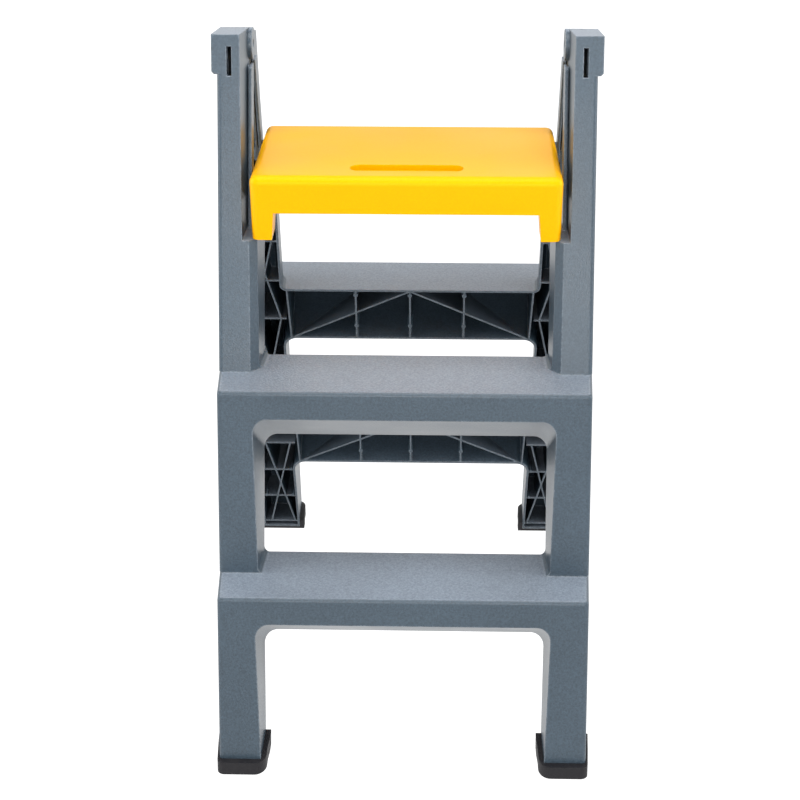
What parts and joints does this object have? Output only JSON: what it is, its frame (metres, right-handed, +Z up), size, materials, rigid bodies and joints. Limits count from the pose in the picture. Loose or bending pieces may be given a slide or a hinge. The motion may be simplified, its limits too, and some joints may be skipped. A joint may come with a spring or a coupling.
{
  "type": "folding step stool",
  "caption": "Folding step stool with two ribbed channel frames hinged at the ears, treads on both sides, a tilting seat between the uprights and rubber feet.",
  "frame": {"origin": "on the floor, midway between the four feet, straight below the hinge axis", "axes": "+Z up, +X to the user's right across the treads, +Y from the front treads to the rear frame"},
  "size_m": [0.448, 0.676, 0.824],
  "materials": {
    "frame_plastic": "fine grained polypropylene",
    "seat_plastic": "soft satin polypropylene",
    "foot_rubber": "matt",
    "pin_steel": "zinc plated"
  },
  "bodies": {
    "front": {"front_frame": "frame_plastic", "front_left_foot": "foot_rubber", "front_right_foot": "foot_rubber", "hinge_pins": "pin_steel"},
    "rear": {"rear_frame": "frame_plastic", "rear_left_foot": "foot_rubber", "rear_right_foot": "foot_rubber", "seat_pins": "pin_steel"},
    "seat": {"seat": "seat_plastic"}
  },
  "joints": [
    {"name": "frame_fold", "type": "hinge", "parent": "front", "child": "rear", "pos_m": [0, 0, 0.795], "axis": [-1, 0, 0], "range_deg": [0, 37.5]},
    {"name": "seat_tilt", "type": "hinge", "parent": "rear", "child": "seat", "pos_m": [0, 0.061, 0.648], "axis": [-1, 0, 0], "range_deg": [0, 71]}
  ]
}
